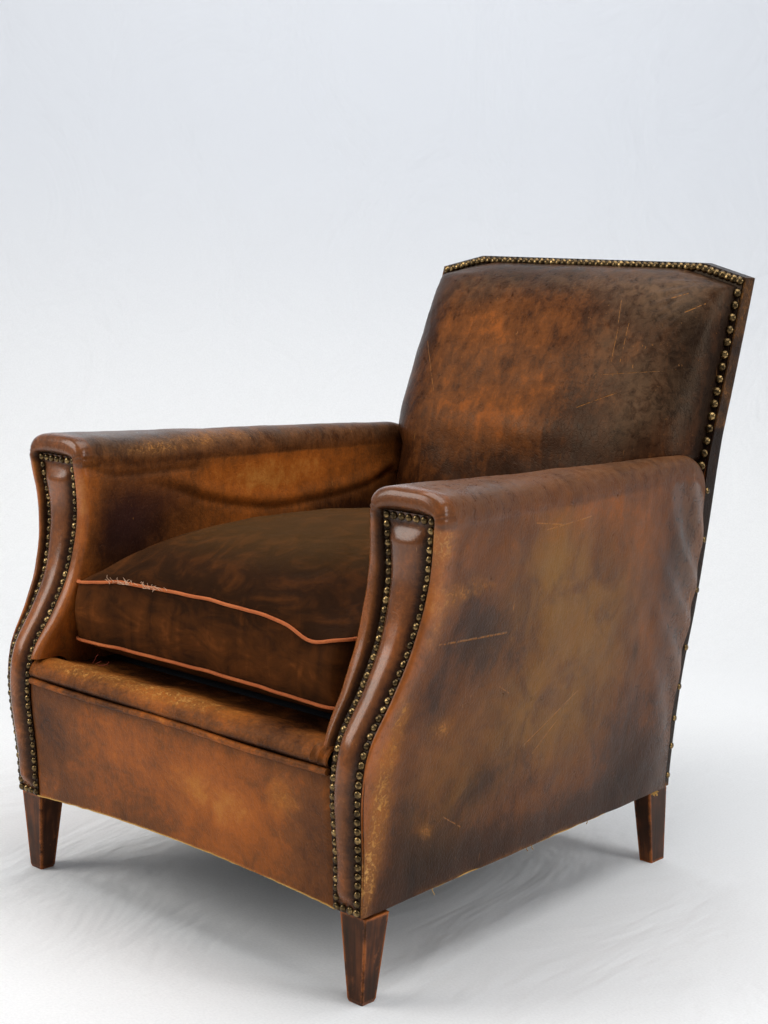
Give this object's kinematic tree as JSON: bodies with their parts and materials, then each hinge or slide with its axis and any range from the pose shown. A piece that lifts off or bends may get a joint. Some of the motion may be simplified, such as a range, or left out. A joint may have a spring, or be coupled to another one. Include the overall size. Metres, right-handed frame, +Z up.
{
  "type": "club chair",
  "caption": "Worn small club chair: leather over a wooden frame, S-curved nailed arm fronts, raked nailed back, loose velvet seat cushion and tapered legs.",
  "frame": {"origin": "on the floor under the centre of the chair's bounding box", "axes": "+Z up; the chair faces -Y; +X is the sitter's left, the right of someone who looks at the chair from its front"},
  "size_m": [0.7134, 0.8374, 0.8216],
  "materials": {
    "beech_frame": "raw, planed",
    "dark_wood": "dark stain, worn on the arrises",
    "brown_leather": "burnished, creased and scuffed",
    "dark_leather": "near black, worn satin",
    "strip_leather_and_nails": "glossy reddish brown with dull brass nail heads",
    "nail_brass": "antique, dull",
    "brown_velvet": "short pile, worn",
    "orange_piping": "faded, frayed",
    "horsehair": "matted fibre",
    "hessian": "coarse plain weave",
    "jute_webbing": "herringbone strap",
    "spring_steel": "dull, lightly rusted",
    "deck_cloth": "dark blue-grey lining cloth",
    "dust_cloth": "thin black lining cloth"
  },
  "bodies": {
    "root": {"front_post_left": "dark_wood", "back_post_left": "dark_wood", "side_rail_left": "beech_frame", "arm_tack_rail_left": "beech_frame", "arm_rail_left": "beech_frame", "corner_block_front_left": "beech_frame", "corner_block_rear_left": "beech_frame", "arm_cover_left": "brown_leather", "arm_stuffing_left": "horsehair", "outer_arm_lining_left": "hessian", "facing_strip_left": "strip_leather_and_nails", "front_post_right": "dark_wood", "back_post_right": "dark_wood", "side_rail_right": "beech_frame", "arm_tack_rail_right": "beech_frame", "arm_rail_right": "beech_frame", "corner_block_front_right": "beech_frame", "corner_block_rear_right": "beech_frame", "arm_cover_right": "brown_leather", "arm_stuffing_right": "horsehair", "outer_arm_lining_right": "hessian", "facing_strip_right": "strip_leather_and_nails", "front_rail": "beech_frame", "rear_rail": "beech_frame", "crest_rail": "beech_frame", "back_tack_rail": "beech_frame", "seat_web_cross_1": "jute_webbing", "seat_web_long_1": "jute_webbing", "seat_web_cross_2": "jute_webbing", "seat_web_long_2": "jute_webbing", "seat_web_cross_3": "jute_webbing", "seat_web_long_3": "jute_webbing", "seat_web_cross_4": "jute_webbing", "seat_web_long_4": "jute_webbing", "seat_spring_1": "spring_steel", "seat_spring_2": "spring_steel", "seat_spring_3": "spring_steel", "seat_spring_4": "spring_steel", "seat_spring_5": "spring_steel", "seat_spring_6": "spring_steel", "seat_spring_7": "spring_steel", "seat_spring_8": "spring_steel", "seat_spring_9": "spring_steel", "spring_hessian": "hessian", "back_hessian": "hessian", "bottom_cloth": "dust_cloth", "front_apron": "brown_leather", "front_welt": "brown_leather", "seat_lip": "brown_leather", "seat_deck": "deck_cloth", "seat_stuffing": "horsehair", "back_stuffing": "horsehair", "inside_back_cover": "brown_leather", "outside_back_cover": "dark_leather", "back_edge_nails": "nail_brass", "seat_cushion": "brown_velvet", "cushion_piping_top": "orange_piping", "cushion_piping_bottom": "orange_piping"}
  },
  "joints": []
}
